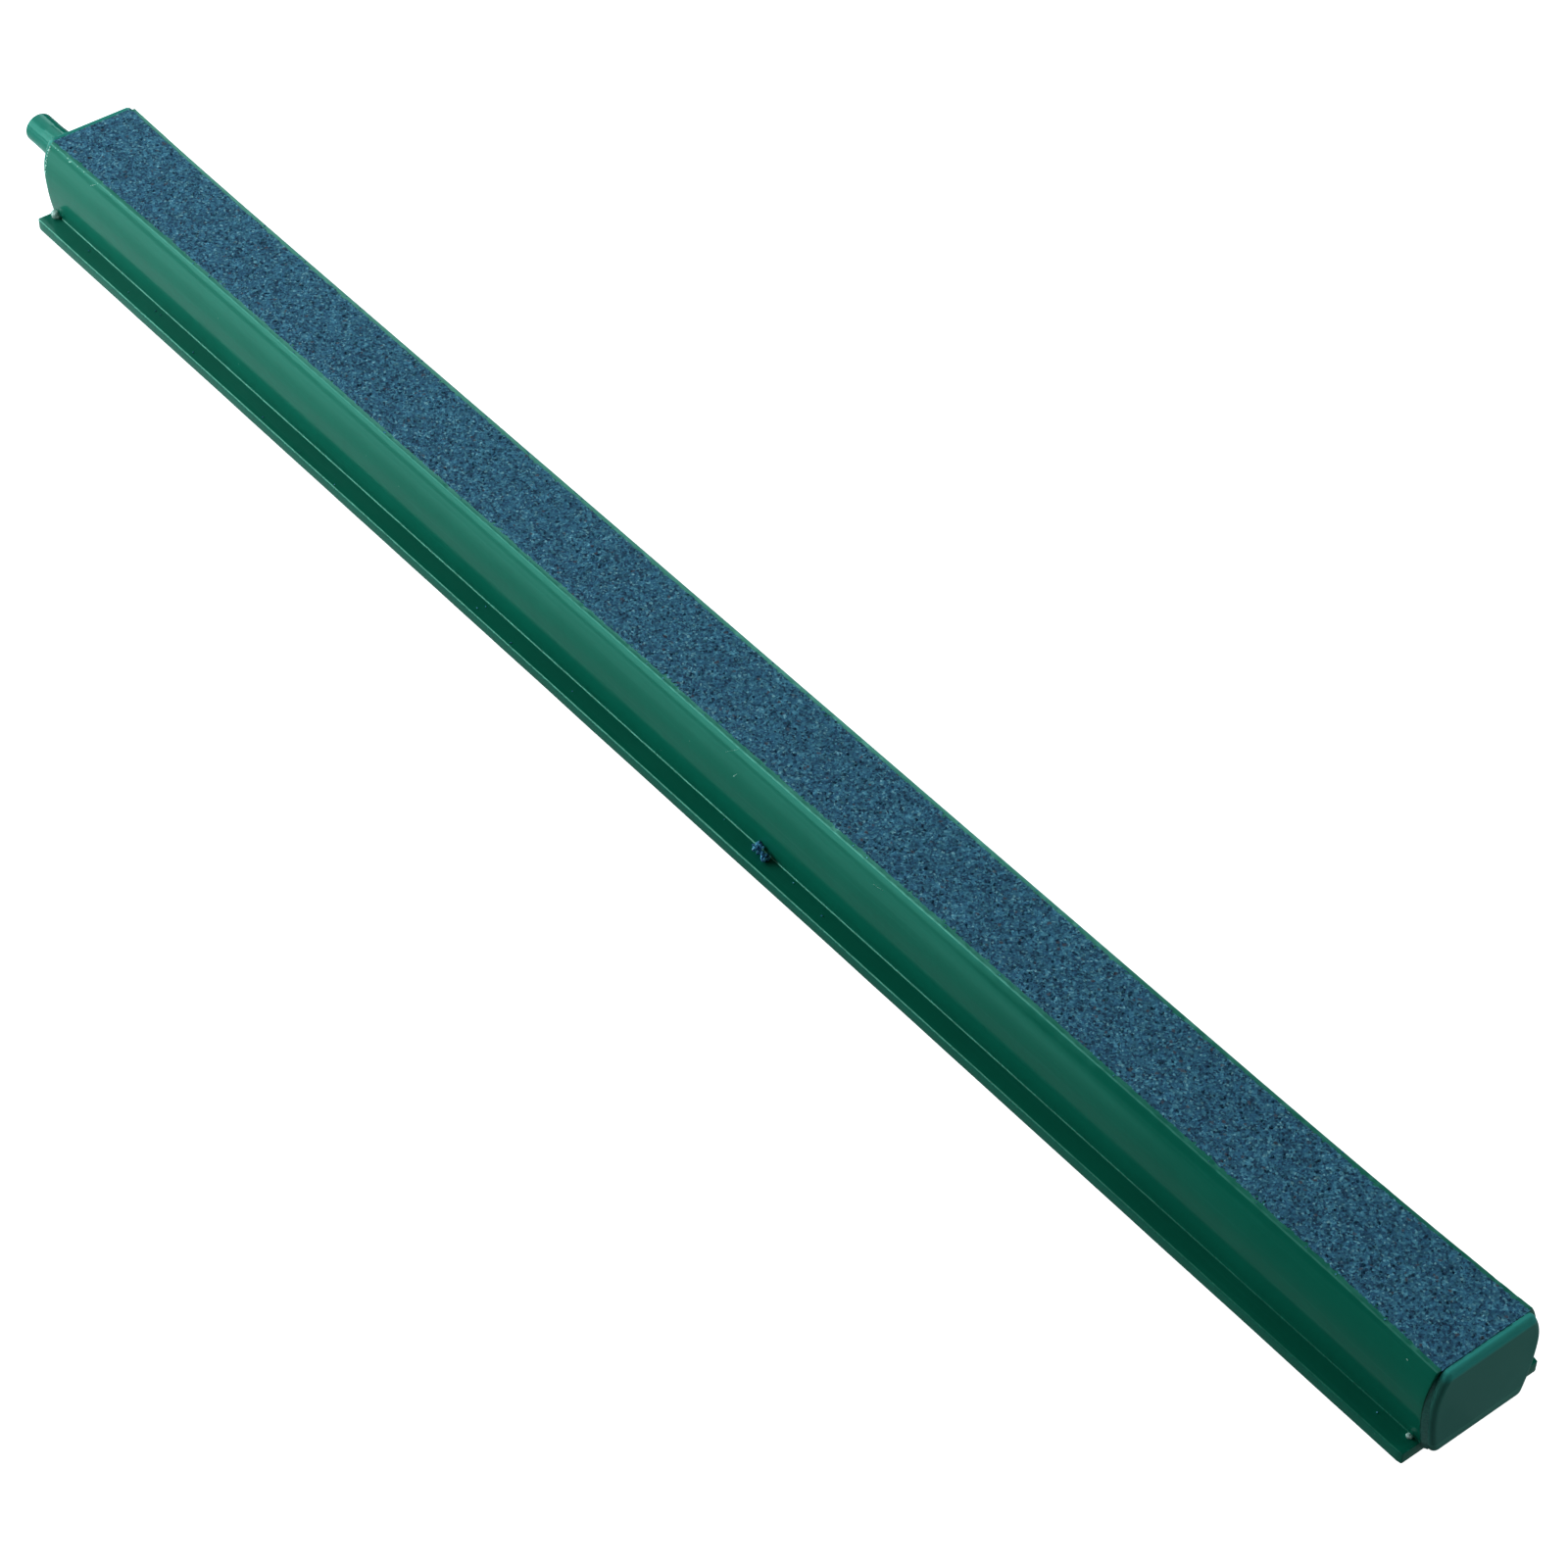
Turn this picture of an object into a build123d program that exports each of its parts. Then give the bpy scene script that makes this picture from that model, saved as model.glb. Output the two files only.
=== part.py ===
from build123d import *
import math
import os

# Air stone bar: a flanged plastic trough filled with a cast grit stone, closed by two end caps.
# X runs along the bar from the hose nipple (-X) to the blank end (+X), Y across it, Z up.
# The origin is the middle of the trough's underside. All sizes are in millimetres.

# Trough: a thin extruded section. Its side walls bulge at the belly and lean in to the rim.
BAR_LENGTH = 300.0
BAR_HEIGHT = 14.5
FOOT_HALF_WIDTH = 11.4
FOOT_THICKNESS = 1.85
FOOT_EDGE_ROUND = 0.3
FOOT_CORNER_ROUND = 0.35
FLOOR_THICKNESS = 1.4
WALL_THICKNESS = 0.8
WAIST_HALF_WIDTH = 8.32
BELLY_HALF_WIDTH = 8.84
BELLY_HEIGHT = 9.0
RIM_HALF_WIDTH = 6.95
WAIST_FILLET = 0.3
RIM_ROUND = 0.15
FLOOR_CORNER_FILLET = 1.0

# The glued caps hold the trough's ends spread: each wall's rim moves out by the splay at the end,
# and the splay dies away over its reach.
INLET_END_SPLAY = 0.6
BLANK_END_SPLAY = 0.8
CAP_SPLAY = (INLET_END_SPLAY + BLANK_END_SPLAY) / 2
SPLAY_REACH = 60.0
SPLAY_STEPS = 5

# Air gallery: a round-topped channel left along the trough's floor, under the stone.
GALLERY_HALF_WIDTH = 3.0
GALLERY_AXIS_HEIGHT = 4.3

# End caps: a plate a little inside the trough's outline, with a spigot in the gallery.
CAP_THICKNESS = 1.3
CAP_INSET = 0.45
CAP_TOP_CORNER_ROUND = 0.9
CAP_BOTTOM_CORNER_ROUND = 1.1
CAP_OUTER_EDGE_ROUND = 0.8
CAP_INNER_EDGE_ROUND = 0.1
SPIGOT_LENGTH = 6.0

# Cement: a film behind each cap plate and a sleeve around each spigot.
CEMENT_FILM = 0.15
CEMENT_SLEEVE = 0.15
CEMENT_INSET = 0.25
DROP_RADIUS = 0.75
DROP_FROM_END = 1.0

# Hose nipple: a short straight seat at the tip, then a taper to the root.
NIPPLE_LENGTH = 16.1
NIPPLE_SEAT_LENGTH = 4.0
NIPPLE_SEAT_RADIUS = 2.45
NIPPLE_ROOT_RADIUS = 3.15
NIPPLE_TIP_ROUND = 0.25
NIPPLE_ROOT_FILLET = 0.3
AIR_BORE_RADIUS = 1.3

# Planes worked out from the driving sizes.
TROUGH_END = BAR_LENGTH / 2
CAP_FACE = TROUGH_END + CEMENT_FILM
CAP_OUTSIDE = CAP_FACE + CAP_THICKNESS


class WallArc:
    """One arc of the outer side wall: upright at the belly, ending at a half-width and height."""

    def __init__(self, belly, end_half_width, end_height):
        rise = abs(end_height - BELLY_HEIGHT)
        lean = belly - end_half_width
        self.radius = (rise ** 2 + lean ** 2) / (2 * lean)
        self.centre = belly - self.radius

    def half_width(self, height, inset):
        """Half-width at a height, for the arc moved inwards by the inset."""
        return self.centre + math.sqrt((self.radius - inset) ** 2 - (height - BELLY_HEIGHT) ** 2)


def wall_arcs(splay):
    """The arcs below and above the belly, for a wall whose rim is pushed out by the splay."""
    belly_share = (BELLY_HEIGHT - FOOT_THICKNESS) / (BAR_HEIGHT - FOOT_THICKNESS)
    belly = BELLY_HALF_WIDTH + belly_share * splay
    lower = WallArc(belly, WAIST_HALF_WIDTH, FOOT_THICKNESS)
    upper = WallArc(belly, RIM_HALF_WIDTH + splay, BAR_HEIGHT)
    return belly, lower, upper


def barrel_face(bottom, top, inset, splay):
    """Closed barrel section between two heights, symmetric about the bar's middle plane."""
    belly_half_width, lower, upper = wall_arcs(splay)
    low = (lower.half_width(bottom, inset), bottom)
    belly = (belly_half_width - inset, BELLY_HEIGHT)
    high = (upper.half_width(top, inset), top)
    base = Line((0, bottom), low)
    lower_arc = RadiusArc(low, belly, -(lower.radius - inset))
    upper_arc = RadiusArc(belly, high, -(upper.radius - inset))
    lid = Line(high, (0, top))
    spine = Line((0, top), (0, bottom))
    half = make_face(base + lower_arc + upper_arc + lid + spine)
    return half + mirror(half, about=Plane.YZ)


def corners_at(shape, height):
    """Corners of a flat section at one height, away from the middle plane."""
    return shape.vertices().filter_by(lambda v: abs(v.Y - height) < 1e-4 and abs(v.X) > 1)


def across_bar(station):
    """Plane of a cross-section at an X station: its X runs across the bar and its Y up."""
    return Plane(origin=(station, 0, 0), x_dir=(0, 1, 0), z_dir=(1, 0, 0))


def along_bar(section, start, end):
    """Extrude one cross-section from one X station to another."""
    return extrude(across_bar(start) * section, amount=end - start)


def splayed_bar(section_for):
    """A body with a straight middle and two ends whose section follows the splay of the walls."""
    straight_end = TROUGH_END - SPLAY_REACH
    body = along_bar(section_for(0), -straight_end, straight_end)
    for side, end_splay in ((-1, INLET_END_SPLAY), (1, BLANK_END_SPLAY)):
        sections = []
        for step in range(SPLAY_STEPS + 1):
            share = step / SPLAY_STEPS
            station = side * (straight_end + share * SPLAY_REACH)
            sections.append(across_bar(station) * section_for(end_splay * share ** 3))
        body += loft(sections)
    return body


def trough_section(splay):
    foot = Pos(0, FOOT_THICKNESS / 2) * Rectangle(2 * FOOT_HALF_WIDTH, FOOT_THICKNESS)
    foot = fillet(foot.vertices(), FOOT_EDGE_ROUND)
    outline = foot + barrel_face(FOOT_THICKNESS / 2, BAR_HEIGHT, 0, splay)
    waist = corners_at(outline, FOOT_THICKNESS).filter_by(lambda v: abs(v.X) < BELLY_HALF_WIDTH)
    outline = fillet(waist, WAIST_FILLET)
    outline = fillet(corners_at(outline, BAR_HEIGHT), RIM_ROUND)
    return outline - cavity_section(splay)


def cavity_section(splay):
    """Inside of the trough, from its floor to the rim."""
    cavity = barrel_face(FLOOR_THICKNESS, BAR_HEIGHT, WALL_THICKNESS, splay)
    return fillet(corners_at(cavity, FLOOR_THICKNESS), FLOOR_CORNER_FILLET)


def arch_section(inset):
    """Gallery section: upright sides from the floor and a half-round top, with an inward offset."""
    half_width = GALLERY_HALF_WIDTH - inset
    bottom = FLOOR_THICKNESS + inset
    left_side = Line((-half_width, GALLERY_AXIS_HEIGHT), (-half_width, bottom))
    floor = Line((-half_width, bottom), (half_width, bottom))
    right_side = Line((half_width, bottom), (half_width, GALLERY_AXIS_HEIGHT))
    top = RadiusArc((half_width, GALLERY_AXIS_HEIGHT), (-half_width, GALLERY_AXIS_HEIGHT), -half_width)
    return make_face(left_side + floor + right_side + top)


def make_trough():
    """The splayed bar, with the four outer corners of its foot rounded in plan."""
    plan = RectangleRounded(BAR_LENGTH, 2 * FOOT_HALF_WIDTH, FOOT_CORNER_ROUND)
    return splayed_bar(trough_section) & extrude(plan, amount=BAR_HEIGHT)


def make_stone_bar():
    return splayed_bar(lambda splay: cavity_section(splay) - arch_section(0))


def cap_section():
    outline = barrel_face(0, BAR_HEIGHT, CAP_INSET, CAP_SPLAY)
    outline = fillet(corners_at(outline, BAR_HEIGHT), CAP_TOP_CORNER_ROUND)
    return fillet(corners_at(outline, 0), CAP_BOTTOM_CORNER_ROUND)


def make_blank_end_cap():
    """Cap for the +X end: plate, then a spigot reaching back into the gallery."""
    plate = along_bar(cap_section(), CAP_FACE, CAP_OUTSIDE)
    plate = fillet(plate.faces().sort_by(Axis.X)[-1].edges(), CAP_OUTER_EDGE_ROUND)
    plate = fillet(plate.faces().sort_by(Axis.X)[0].edges(), CAP_INNER_EDGE_ROUND)
    spigot = along_bar(arch_section(CEMENT_SLEEVE), TROUGH_END - SPIGOT_LENGTH, CAP_FACE)
    return plate + spigot


def nipple_profile():
    """Half-outline of the nipple: X outwards from the cap's outer face, Y the radius."""
    taper_length = NIPPLE_LENGTH - NIPPLE_SEAT_LENGTH
    inside_plate = -CAP_THICKNESS / 2
    skirt_radius = NIPPLE_ROOT_RADIUS + 2 * NIPPLE_ROOT_FILLET
    profile = make_face(Polyline(
        (inside_plate, 0),
        (NIPPLE_LENGTH, 0),
        (NIPPLE_LENGTH, NIPPLE_SEAT_RADIUS),
        (taper_length, NIPPLE_SEAT_RADIUS),
        (0, NIPPLE_ROOT_RADIUS),
        (0, skirt_radius),
        (inside_plate, skirt_radius),
        close=True,
    ))
    tip_corner = profile.vertices().sort_by(Axis.X)[-2:].sort_by(Axis.Y)[-1]
    profile = fillet(tip_corner, NIPPLE_TIP_ROUND)
    root_corner = profile.vertices().filter_by(lambda v: abs(v.X) < 1e-4).sort_by(Axis.Y)[0]
    return fillet(root_corner, NIPPLE_ROOT_FILLET)


def make_inlet_end_cap():
    """The blank cap turned to the -X end, with the nipple added and the air bore cut through."""
    root = (-CAP_OUTSIDE, 0, GALLERY_AXIS_HEIGHT)
    outwards = (-1, 0, 0)
    profile_plane = Plane(origin=root, x_dir=outwards, z_dir=(0, 1, 0))
    nipple = revolve(profile_plane * nipple_profile(), axis=Axis(root, outwards))
    bore_start = Plane(origin=(-CAP_OUTSIDE - NIPPLE_LENGTH, 0, GALLERY_AXIS_HEIGHT), z_dir=(1, 0, 0))
    bore_length = NIPPLE_LENGTH + CAP_OUTSIDE - TROUGH_END + SPIGOT_LENGTH
    air_bore = extrude(bore_start * Circle(AIR_BORE_RADIUS), amount=bore_length)
    return mirror(make_blank_end_cap(), about=Plane.YZ) + nipple - air_bore


def make_blank_cap_cement():
    """Film behind the +X cap's plate, and the sleeve that seals its spigot in the gallery."""
    film = along_bar(offset(cap_section(), -CEMENT_INSET), TROUGH_END, CAP_FACE)
    film = film - along_bar(arch_section(CEMENT_SLEEVE), TROUGH_END, CAP_FACE)
    sleeve_section = arch_section(0) - arch_section(CEMENT_SLEEVE)
    return film + along_bar(sleeve_section, TROUGH_END - SPIGOT_LENGTH, TROUGH_END)


def make_cement_drop(end, trough):
    """Round drop sitting in the corner between the flange and the side wall, at one end."""
    station = end * (TROUGH_END - DROP_FROM_END)
    across = -WAIST_HALF_WIDTH - DROP_RADIUS / 2
    up = FOOT_THICKNESS + DROP_RADIUS / 2
    return Pos(station, across, up) * Sphere(DROP_RADIUS) - trough


def write_parts():
    trough = make_trough()
    blank_cement = make_blank_cap_cement()
    parts = {
        "trough": trough,
        "stone_bar": make_stone_bar(),
        "inlet_end_cap": make_inlet_end_cap(),
        "blank_end_cap": make_blank_end_cap(),
        "inlet_cap_cement": mirror(blank_cement, about=Plane.YZ),
        "blank_cap_cement": blank_cement,
        "inlet_cement_drop": make_cement_drop(-1, trough),
        "blank_cement_drop": make_cement_drop(1, trough),
    }
    os.makedirs("parts", exist_ok=True)
    for node, shape in parts.items():
        export_step(shape, f"parts/{node}.step")


write_parts()
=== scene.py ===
import math
import random

import bmesh
import bpy
import numpy as np
from mathutils import Euler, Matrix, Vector, noise


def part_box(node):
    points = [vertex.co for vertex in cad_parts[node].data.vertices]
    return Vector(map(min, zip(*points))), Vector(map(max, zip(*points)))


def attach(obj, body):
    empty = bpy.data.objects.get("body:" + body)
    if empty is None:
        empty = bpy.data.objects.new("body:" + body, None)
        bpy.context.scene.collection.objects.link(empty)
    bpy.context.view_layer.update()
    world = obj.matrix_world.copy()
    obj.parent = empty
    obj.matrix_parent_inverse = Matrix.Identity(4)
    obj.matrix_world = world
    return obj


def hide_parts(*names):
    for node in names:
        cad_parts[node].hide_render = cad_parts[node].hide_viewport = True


# Air stone bar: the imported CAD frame, with the trough, the stone and the cement drops rebuilt as
# detailed meshes. X runs along the bar, Y across it, Z up. Blender works in metres.

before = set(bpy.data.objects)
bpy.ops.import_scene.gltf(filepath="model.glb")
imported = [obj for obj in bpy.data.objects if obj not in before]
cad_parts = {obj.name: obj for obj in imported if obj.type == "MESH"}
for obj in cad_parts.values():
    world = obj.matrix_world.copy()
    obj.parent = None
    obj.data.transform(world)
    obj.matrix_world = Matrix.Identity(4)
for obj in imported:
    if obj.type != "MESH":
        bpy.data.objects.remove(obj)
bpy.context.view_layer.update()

MM = 0.001
SEED = 7

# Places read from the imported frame.
trough_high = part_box("trough")[1]
TROUGH_END = trough_high.x
FOOT_HALF_WIDTH = trough_high.y
BAR_HEIGHT = trough_high.z
CAP_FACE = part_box("blank_cap_cement")[1].x

# Section of the trough, as the CAD has it, but with sharper rounds along the foot's edges and in
# the crease of foot and wall.
FOOT_THICKNESS = 1.85 * MM
FOOT_EDGE_ROUND = 0.16 * MM
FOOT_CORNER_ROUND = 0.35 * MM
FLOOR_THICKNESS = 1.4 * MM
WALL_THICKNESS = 0.8 * MM
WAIST_HALF_WIDTH = 8.32 * MM
BELLY_HALF_WIDTH = 8.84 * MM
BELLY_HEIGHT = 9.0 * MM
RIM_HALF_WIDTH = 6.95 * MM
WAIST_FILLET = 0.14 * MM
RIM_ROUND = 0.15 * MM
FLOOR_CORNER_FILLET = 1.0 * MM
GALLERY_HALF_WIDTH = 3.0 * MM
GALLERY_AXIS_HEIGHT = 4.3 * MM
CUT_EDGE_ROUND = 0.08 * MM

# The rims stand a little further apart at the two ends, as the fit to the photo's outline has it.
INLET_END_SPLAY = 0.6 * MM
BLANK_END_SPLAY = 0.8 * MM
SPLAY_REACH = 60 * MM

# Edges that turn by more than these angles are shaded sharp.
SHARP_EDGE = math.radians(35)
SHARP_GRAIN = math.radians(25)
SHARP_CRUMB = math.radians(20)
SHARP_SEAM = math.radians(60)
SHARP_NOWHERE = math.pi

# Camera: a long lens looking down along the bar from the blank end. Its values come from a
# least-squares fit to the bar's outline in the photo.
CAMERA_AIM = Vector((28.53 * MM, -6.66 * MM, 14.5 * MM))
CAMERA_DISTANCE = 562.27 * MM
CAMERA_AZIMUTH = math.radians(50.063)
CAMERA_ELEVATION = math.radians(44.045)
CAMERA_ROLL = math.radians(1.749)
CAMERA_LENS = 98.926
CAMERA_SENSOR = 36.0
CAMERA_CLIP = (0.01, 100)


# ---------------------------------------------------------------- section of the bar

# How many steps each arc of the outline has.
FOOT_UNDER_EDGE_STEPS = 5
FOOT_TOP_EDGE_STEPS = 6
CREASE_STEPS = 7
LOWER_WALL_STEPS = 9
UPPER_WALL_STEPS = 12
RIM_STEPS = 4
INNER_UPPER_STEPS = 4
INNER_LOWER_STEPS = 3
FLOOR_CORNER_STEPS = 3

# Where the flat stretches of the foot are divided, as shares of their width.
FOOT_UNDER_DIVISION = 0.5
FOOT_TOP_DIVISIONS = (0.33, 0.67)


class WallArc:
    """One arc of the outer side wall: upright at the belly, ending at a half-width and height."""

    def __init__(self, belly, end_half_width, end_height):
        rise = abs(end_height - BELLY_HEIGHT)
        lean = belly - end_half_width
        self.radius = (rise ** 2 + lean ** 2) / (2 * lean)
        self.centre = belly - self.radius

    def half_width(self, height, inset=0.0):
        """Half-width at a height, for the arc moved inwards by the inset."""
        return self.centre + math.sqrt((self.radius - inset) ** 2 - (height - BELLY_HEIGHT) ** 2)


def splay_at(station):
    """How far the rim is pushed outwards at a station along the bar."""
    end_splay = BLANK_END_SPLAY if station > 0 else INLET_END_SPLAY
    share = max(0.0, (abs(station) - (TROUGH_END - SPLAY_REACH)) / SPLAY_REACH)
    return end_splay * min(share, 1.0) ** 3


def wall_arcs(splay):
    """The arcs below and above the belly, for a wall whose rim is pushed out by the splay."""
    belly_share = (BELLY_HEIGHT - FOOT_THICKNESS) / (BAR_HEIGHT - FOOT_THICKNESS)
    belly = BELLY_HALF_WIDTH + belly_share * splay
    lower = WallArc(belly, WAIST_HALF_WIDTH, FOOT_THICKNESS)
    upper = WallArc(belly, RIM_HALF_WIDTH + splay, BAR_HEIGHT)
    return lower, upper


def arc_points(centre, radius, start, end, steps, side=1):
    """Points on an arc as (across, up, normal across, normal up). Side is -1 on a hollow curve."""
    points = []
    for step in range(steps + 1):
        angle = start + (end - start) * step / steps
        across, up = math.cos(angle), math.sin(angle)
        points.append((centre[0] + radius * across, centre[1] + radius * up, side * across, side * up))
    return points


def half_outline(splay):
    """Outline of one half of the trough, from the middle of its underside to that of its floor."""
    lower, upper = wall_arcs(splay)
    points = [(0, 0, 0, -1), (FOOT_HALF_WIDTH * FOOT_UNDER_DIVISION, 0, 0, -1)]
    edge_centre = FOOT_HALF_WIDTH - FOOT_EDGE_ROUND
    under_centre = (edge_centre, FOOT_EDGE_ROUND)
    points += arc_points(under_centre, FOOT_EDGE_ROUND, -math.pi / 2, 0, FOOT_UNDER_EDGE_STEPS)
    top_centre = (edge_centre, FOOT_THICKNESS - FOOT_EDGE_ROUND)
    points += arc_points(top_centre, FOOT_EDGE_ROUND, 0, math.pi / 2, FOOT_TOP_EDGE_STEPS)

    fillet_up = FOOT_THICKNESS + WAIST_FILLET
    below_belly = BELLY_HEIGHT - fillet_up
    fillet_across = lower.centre + math.sqrt((lower.radius + WAIST_FILLET) ** 2 - below_belly ** 2)
    for share in FOOT_TOP_DIVISIONS:
        points.append((edge_centre + share * (fillet_across - edge_centre), FOOT_THICKNESS, 0, 1))
    lean = math.atan2(-below_belly, fillet_across - lower.centre)
    fillet_centre = (fillet_across, fillet_up)
    fillet_end = lean - math.pi
    points += arc_points(fillet_centre, WAIST_FILLET, -math.pi / 2, fillet_end, CREASE_STEPS, side=-1)

    lower_centre = (lower.centre, BELLY_HEIGHT)
    upper_centre = (upper.centre, BELLY_HEIGHT)
    points += arc_points(lower_centre, lower.radius, lean, 0, LOWER_WALL_STEPS)[1:]
    round_up = BAR_HEIGHT - RIM_ROUND - BELLY_HEIGHT
    round_across = upper.centre + math.sqrt((upper.radius - RIM_ROUND) ** 2 - round_up ** 2)
    rim_lean = math.atan2(round_up, round_across - upper.centre)
    points += arc_points(upper_centre, upper.radius, 0, rim_lean, UPPER_WALL_STEPS)[1:]
    rim_centre = (round_across, BAR_HEIGHT - RIM_ROUND)
    points += arc_points(rim_centre, RIM_ROUND, rim_lean, math.pi / 2, RIM_STEPS)[1:]

    inner_rim = upper.half_width(BAR_HEIGHT, WALL_THICKNESS)
    points.append(((inner_rim + round_across) / 2, BAR_HEIGHT, 0, 1))
    inner_upper = upper.radius - WALL_THICKNESS
    inner_lean = math.asin((BAR_HEIGHT - BELLY_HEIGHT) / inner_upper)
    points += arc_points(upper_centre, inner_upper, inner_lean, 0, INNER_UPPER_STEPS, side=-1)
    corner_up = FLOOR_THICKNESS + FLOOR_CORNER_FILLET
    corner_drop = BELLY_HEIGHT - corner_up
    inner_lower = lower.radius - WALL_THICKNESS
    corner_reach = inner_lower - FLOOR_CORNER_FILLET
    corner_across = lower.centre + math.sqrt(corner_reach ** 2 - corner_drop ** 2)
    corner_lean = math.atan2(-corner_drop, corner_across - lower.centre)
    points += arc_points(lower_centre, inner_lower, 0, corner_lean, INNER_LOWER_STEPS, side=-1)[1:]
    corner_centre = (corner_across, corner_up)
    corner_arc = arc_points(
        corner_centre, FLOOR_CORNER_FILLET, corner_lean, -math.pi / 2, FLOOR_CORNER_STEPS, side=-1)
    points += corner_arc[1:]
    points.append((0, FLOOR_THICKNESS, 0, 1))
    return points


def full_outline(splay):
    """Closed outline of the trough: both halves, with the points on the middle plane used once."""
    half = half_outline(splay)
    other = [(-across, up, -normal, normal_up) for across, up, normal, normal_up in reversed(half[1:-1])]
    return np.array(half + other)


# ---------------------------------------------------------------- mesh helpers

def ring_faces(rings, size):
    """Quads between closed rings of the same size, and one face over each end."""
    corner = np.arange(size)
    after = (corner + 1) % size
    faces = []
    for ring in range(rings - 1):
        low, high = ring * size, (ring + 1) * size
        faces.append(np.stack([low + corner, low + after, high + after, high + corner], axis=1))
    quads = np.concatenate(faces).tolist()
    return [list(reversed(range(size)))] + quads + [list(range((rings - 1) * size, rings * size))]


def add_piece(name, vertices, faces, material, smooth_to=SHARP_EDGE):
    """A mesh object made from points and faces, smooth except where its faces meet sharply."""
    mesh = bpy.data.meshes.new(name)
    mesh.from_pydata([tuple(v) for v in vertices], [], faces)
    work = bmesh.new()
    work.from_mesh(mesh)
    bmesh.ops.recalc_face_normals(work, faces=work.faces)
    wide = [face for face in work.faces if len(face.verts) > 4]
    bmesh.ops.triangulate(work, faces=wide)
    work.to_mesh(mesh)
    work.free()
    mesh.shade_smooth()
    mesh.set_sharp_from_angle(angle=smooth_to)
    mesh.materials.append(material)
    piece = bpy.data.objects.new(name, mesh)
    bpy.context.scene.collection.objects.link(piece)
    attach(piece, "root")
    return piece


def stations(end, step):
    """Even stations from one end of the bar to the other."""
    count = round(2 * end / step)
    return np.linspace(-end, end, count + 1)


# Each seed of a wave follows its own line through the noise, this far from the last one.
WAVE_LINE_STEP = (7.3, 3.1)


def wave(station, size, seed):
    """Smooth noise along the bar, from about -1 to 1, with bumps of the given size."""
    return noise.noise(Vector((station / size, seed * WAVE_LINE_STEP[0], seed * WAVE_LINE_STEP[1])))


# ---------------------------------------------------------------- trough

TROUGH_STEP = 0.6 * MM
CUT_EDGE_RINGS = 4

# How far the rim is chipped, and how far the rim, the walls and the foot stray from straight.
RIM_CHIP = 0.16 * MM
RIM_WAVER = 0.03 * MM
WALL_WAVER = 0.02 * MM
FOOT_WAVER = 0.03 * MM

# Size of the bumps in each of those, and their seeds. The rim is chipped where its wave passes the
# threshold.
CHIP_SIZE = 1.1 * MM
CHIP_THRESHOLD = 0.25
RIM_DIP_SIZE = 4 * MM
RIM_EDGE_SIZE = 1.6 * MM
WALL_WAVE_SIZE = 26 * MM
FOOT_WAVE_SIZE = 9 * MM
FOOT_SEED = 5
CHIP_SEED = 11
RIM_DIP_SEED = 21
RIM_EDGE_SEED = 31
WALL_SEED = 41

# The flange lies outside this half-width, the rim above one height and the wall above the other.
FLANGE_FROM = BELLY_HALF_WIDTH + 1.5 * MM
RIM_FROM = BAR_HEIGHT - 2.5 * RIM_ROUND
WALL_FROM = FOOT_THICKNESS * 2


def trough_ring(station, end_offset=0.0):
    """Section of the trough at a station, shrunk by an offset at its rounded cut ends."""
    outline = full_outline(splay_at(station))
    across, up = outline[:, 0].copy(), outline[:, 1].copy()
    across -= end_offset * outline[:, 2]
    up -= end_offset * outline[:, 3]

    corner_start = TROUGH_END - FOOT_CORNER_ROUND
    into_corner = max(0.0, abs(station) - corner_start)
    corner_cut = FOOT_CORNER_ROUND - math.sqrt(max(0.0, FOOT_CORNER_ROUND ** 2 - into_corner ** 2))
    flange = (np.abs(across) > FLANGE_FROM) & (up < FOOT_THICKNESS + WAIST_FILLET)
    foot_waver = FOOT_WAVER * wave(station, FOOT_WAVE_SIZE, FOOT_SEED)
    across[flange] -= np.sign(across[flange]) * (corner_cut + foot_waver)

    for side in (-1, 1):
        rim = (np.sign(across) == side) & (up > RIM_FROM)
        chip = max(0.0, wave(station, CHIP_SIZE, CHIP_SEED + side) - CHIP_THRESHOLD) * RIM_CHIP
        dip = RIM_WAVER * (0.5 + 0.5 * wave(station, RIM_DIP_SIZE, RIM_DIP_SEED + side))
        up[rim] -= chip + dip
        across[rim] -= side * RIM_WAVER * wave(station, RIM_EDGE_SIZE, RIM_EDGE_SEED + side)
        wall = (np.sign(across) == side) & (np.abs(across) > WAIST_HALF_WIDTH) & (up > WALL_FROM)
        across[wall] += side * WALL_WAVER * wave(station, WALL_WAVE_SIZE, WALL_SEED + side)
    return np.stack([np.full(len(across), station), across, up], axis=1)


def build_trough(material):
    """The trough from cut end to cut end, its ends rounded by a few rings each."""
    rings = []
    middle = stations(TROUGH_END - CUT_EDGE_ROUND, TROUGH_STEP)
    angles = [math.pi / 2 * ring / CUT_EDGE_RINGS for ring in range(1, CUT_EDGE_RINGS + 1)]
    for angle in reversed(angles):
        station = -(TROUGH_END - CUT_EDGE_ROUND + CUT_EDGE_ROUND * math.sin(angle))
        rings.append(trough_ring(station, CUT_EDGE_ROUND * (1 - math.cos(angle))))
    rings += [trough_ring(station) for station in middle]
    for angle in angles:
        station = TROUGH_END - CUT_EDGE_ROUND + CUT_EDGE_ROUND * math.sin(angle)
        rings.append(trough_ring(station, CUT_EDGE_ROUND * (1 - math.cos(angle))))
    faces = ring_faces(len(rings), len(rings[0]))
    piece = add_piece("trough_shell", np.concatenate(rings), faces, material)
    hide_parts("trough")


# ---------------------------------------------------------------- stone

# Grid of the grains: its step, and the half-width that sets how many there are across.
GRAIN_STEP = 0.25 * MM
STONE_HALF_WIDTH = RIM_HALF_WIDTH - 0.5 * MM

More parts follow.
